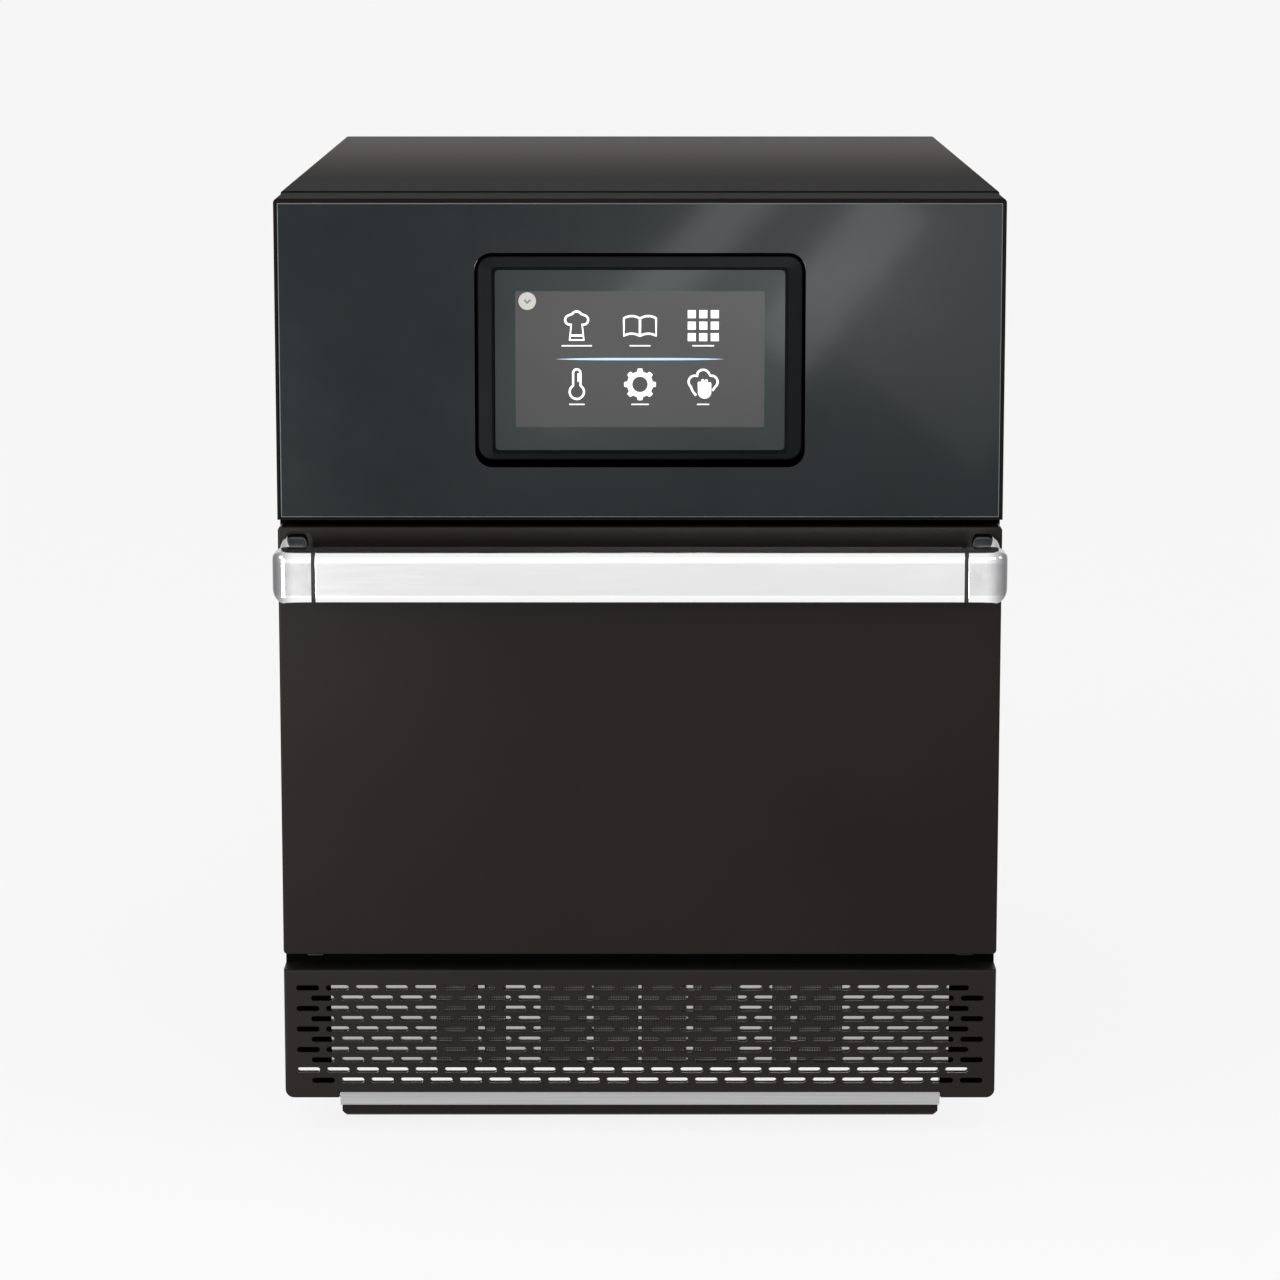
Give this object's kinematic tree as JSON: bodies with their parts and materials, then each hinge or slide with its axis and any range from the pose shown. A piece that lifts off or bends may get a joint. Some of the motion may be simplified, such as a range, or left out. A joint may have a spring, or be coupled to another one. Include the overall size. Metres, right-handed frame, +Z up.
{
  "type": "speed oven",
  "caption": "Countertop speed oven with a drop-down door, full-width bar handle, touch display and slotted air intake panel.",
  "frame": {"origin": "centre of the overall box, on the plane that the feet stand on", "axes": "+X to the right seen from the front, +Y to the back, +Z up; the door faces -Y"},
  "size_m": [0.457, 0.76, 0.603],
  "materials": {
    "black_paint": "satin",
    "dark_fascia": "gloss",
    "touch_surface": "gloss",
    "black_plastic": "satin",
    "filter_wire": "matte",
    "stainless": "brushed",
    "handle_metal": "satin",
    "filter_metal": "satin",
    "zinc": "zinc plated",
    "wool": "fibrous",
    "foot_rubber": "matte",
    "seal_rubber": "matte",
    "board": "matte",
    "ceramic": "matte"
  },
  "bodies": {
    "root": {"plinth_strip": "black_paint", "front_frame": "black_paint", "outer_cover": "black_paint", "rear_panel": "black_paint", "front_housing": "black_paint", "fascia_glass": "dark_fascia", "touch_glass": "touch_surface", "screen_bezel": "black_plastic", "display_module": "black_plastic", "cable_gland": "black_plastic", "switch_housing": "black_plastic", "cooling_fan_frame_left": "black_plastic", "cooling_fan_frame_right": "black_plastic", "interlock_switch_left": "black_plastic", "interlock_switch_right": "black_plastic", "cavity_shell": "stainless", "impinger_plate": "stainless", "fan_cover": "stainless", "fan_chamber": "stainless", "heater_element": "stainless", "base_pan": "zinc", "convection_motor": "zinc", "waveguide": "zinc", "magnetron_left": "zinc", "magnetron_right": "zinc", "power_supply_left": "zinc", "power_supply_right": "zinc", "hinge_bracket_left": "zinc", "hinge_bracket_right": "zinc", "insulation_jacket": "wool", "foot_front_left": "foot_rubber", "foot_front_right": "foot_rubber", "foot_rear_left": "foot_rubber", "foot_rear_right": "foot_rubber", "control_board": "board", "catalytic_converter": "ceramic"},
    "door": {"door_skin": "black_paint", "door_inner": "stainless", "door_seal": "seal_rubber", "door_choke": "stainless", "door_insulation": "wool", "hinge_arm_left": "zinc", "hinge_arm_right": "zinc", "interlock_finger_left": "zinc", "interlock_finger_right": "zinc", "handle_bar": "handle_metal", "handle_end_left": "handle_metal", "handle_end_right": "handle_metal", "handle_bolt_left": "zinc", "handle_bolt_right": "zinc"},
    "air_intake": {"grille_panel": "black_paint", "air_filter": "filter_metal", "filter_mesh": "filter_wire"},
    "shelf": {"cook_plate": "stainless"},
    "blower": {"convection_fan": "stainless"},
    "cooling_left": {"cooling_rotor_left": "black_plastic"},
    "cooling_right": {"cooling_rotor_right": "black_plastic"},
    "rocker": {"power_rocker": "black_plastic"}
  },
  "joints": [
    {"name": "door_hinge", "type": "hinge", "parent": "root", "child": "door", "pos_m": [0, -0.317, 0.124], "axis": [1, 0, 0], "range_deg": [0, 90]},
    {"name": "intake_pull", "type": "slide", "parent": "root", "child": "air_intake", "axis": [0, -1, 0], "range_m": [0, 0.05]},
    {"name": "shelf_slide", "type": "slide", "parent": "root", "child": "shelf", "axis": [0, -1, 0], "range_m": [0, 0.004]},
    {"name": "blower_spin", "type": "hinge", "parent": "root", "child": "blower", "pos_m": [0, 0.115, 0.2425], "axis": [0, 1, 0], "continuous": true},
    {"name": "cooling_left_spin", "type": "hinge", "parent": "root", "child": "cooling_left", "pos_m": [-0.105, 0.3585, 0.0803], "axis": [0, 1, 0], "continuous": true},
    {"name": "cooling_right_spin", "type": "hinge", "parent": "root", "child": "cooling_right", "pos_m": [0.105, 0.3585, 0.0803], "axis": [0, 1, 0], "continuous": true},
    {"name": "rocker_tilt", "type": "hinge", "parent": "root", "child": "rocker", "pos_m": [0.185, 0.36, 0.06], "axis": [1, 0, 0], "range_deg": [-16, 0]}
  ]
}
